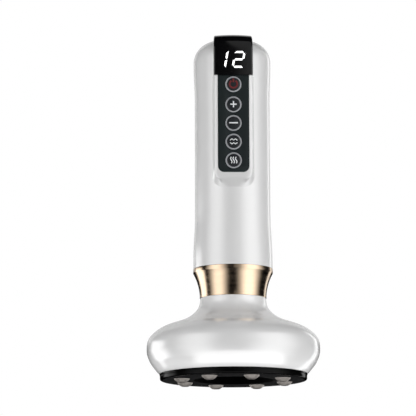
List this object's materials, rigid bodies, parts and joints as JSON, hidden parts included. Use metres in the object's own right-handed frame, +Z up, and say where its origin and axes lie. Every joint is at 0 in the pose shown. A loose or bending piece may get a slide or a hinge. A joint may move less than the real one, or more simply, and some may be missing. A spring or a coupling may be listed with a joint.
{
  "type": "suction body massager",
  "caption": "Handheld body massager: a round suction head with steel beads under a slim handle with a gold collar, a numeric display and a column of keys.",
  "frame": {"origin": "centre of the underside, on the plane of the bead tips that it stands on", "axes": "+Z up along the handle's axis, -Y towards the display and keys, +X to the right seen from the front"},
  "size_m": [0.0992, 0.0992, 0.2009],
  "materials": {
    "shell_white": "polished white ABS",
    "lens_black": "high gloss black",
    "digit_white": "lit white",
    "module_black": "matt black",
    "panel_slate": "satin dark slate",
    "ring_silver": "satin chrome",
    "key_black": "high gloss black",
    "icon_white": "printed white",
    "icon_red": "printed dark red",
    "collar_gold": "polished pale gold plating",
    "rim_black": "high gloss black",
    "plate_dark": "fine matt dark grey",
    "bead_steel": "polished steel",
    "cup_black": "satin black",
    "seal_rubber": "soft black rubber",
    "hose_silicone": "milky silicone",
    "magnet_nickel": "nickel plated",
    "heater_alloy": "bare sheet",
    "filter_grey": "grey moulding",
    "filter_foam": "open foam",
    "board_green": "solder mask",
    "chip_black": "moulded package",
    "dome_steel": "spring steel",
    "screw_steel": "zinc plated",
    "cell_wrap": "shrink sleeve",
    "cradle_grey": "grey moulding",
    "socket_steel": "stamped shell",
    "pump_white": "nylon moulding",
    "motor_steel": "drawn can",
    "motor_copper": "enamelled copper winding",
    "lead_red": "wire insulation"
  },
  "bodies": {
    "housing": {"front_shell": "shell_white", "rear_shell": "shell_white", "head_shell": "shell_white", "display_lens": "lens_black", "display_digits": "digit_white", "display_module": "module_black", "key_panel": "panel_slate", "key_rings": "ring_silver", "collar": "collar_gold", "rim_ring": "rim_black", "contact_plate": "plate_dark", "massage_beads": "bead_steel", "bead_magnets": "magnet_nickel", "suction_cup": "cup_black", "cup_gasket": "seal_rubber", "heater_ring": "heater_alloy", "filter_pad": "filter_foam", "filter_cap": "filter_grey", "suction_hose": "hose_silicone", "valve_frame": "motor_steel", "valve_coil": "motor_copper", "valve_spring": "dome_steel", "snap_domes": "dome_steel", "main_board": "board_green", "board_components": "chip_black", "board_screws": "screw_steel", "shell_screws": "screw_steel", "battery_cell": "cell_wrap", "battery_cradle": "cradle_grey", "charge_board": "board_green", "charge_socket": "socket_steel", "pump_cover": "pump_white", "pump_valve_plate": "pump_white", "pump_diaphragm": "seal_rubber", "pump_base": "pump_white", "pump_screws": "screw_steel", "pump_damper": "seal_rubber", "wobble_plate": "cradle_grey", "motor_can": "motor_steel", "motor_endbell": "cradle_grey", "motor_magnets": "chip_black", "head_leads": "lead_red", "battery_leads": "lead_red", "motor_leads": "lead_red"},
    "rotor": {"motor_armature": "motor_copper", "motor_shaft": "screw_steel", "pump_crank": "pump_white"},
    "plunger": {"valve_plunger": "screw_steel"},
    "key_power": {"button_power": "key_black", "icon_power": "icon_red"},
    "key_plus": {"button_plus": "key_black", "icon_plus": "icon_white"},
    "key_minus": {"button_minus": "key_black", "icon_minus": "icon_white"},
    "key_suction": {"button_suction": "key_black", "icon_suction": "icon_white"},
    "key_heat": {"button_heat": "key_black", "icon_heat": "icon_white"}
  },
  "joints": [
    {"name": "power_press", "type": "slide", "parent": "housing", "child": "key_power", "axis": [0, 1, 0], "range_m": [0, 0.0004], "stiffness_N_per_m": 800},
    {"name": "plus_press", "type": "slide", "parent": "housing", "child": "key_plus", "axis": [0, 1, 0], "range_m": [0, 0.0004], "stiffness_N_per_m": 800},
    {"name": "minus_press", "type": "slide", "parent": "housing", "child": "key_minus", "axis": [0, 1, 0], "range_m": [0, 0.0004], "stiffness_N_per_m": 800},
    {"name": "suction_press", "type": "slide", "parent": "housing", "child": "key_suction", "axis": [0, 1, 0], "range_m": [0, 0.0004], "stiffness_N_per_m": 800},
    {"name": "heat_press", "type": "slide", "parent": "housing", "child": "key_heat", "axis": [0, 1, 0], "range_m": [0, 0.0004], "stiffness_N_per_m": 800},
    {"name": "valve_lift", "type": "slide", "parent": "housing", "child": "plunger", "axis": [0, 0, 1], "range_m": [0, 0.0012], "stiffness_N_per_m": 120, "springref_m": -0.003, "deforming": ["valve_spring"]},
    {"name": "motor_spin", "type": "hinge", "parent": "housing", "child": "rotor", "pos_m": [0, 0, 0.1], "axis": [0, 0, 1], "continuous": true}
  ]
}
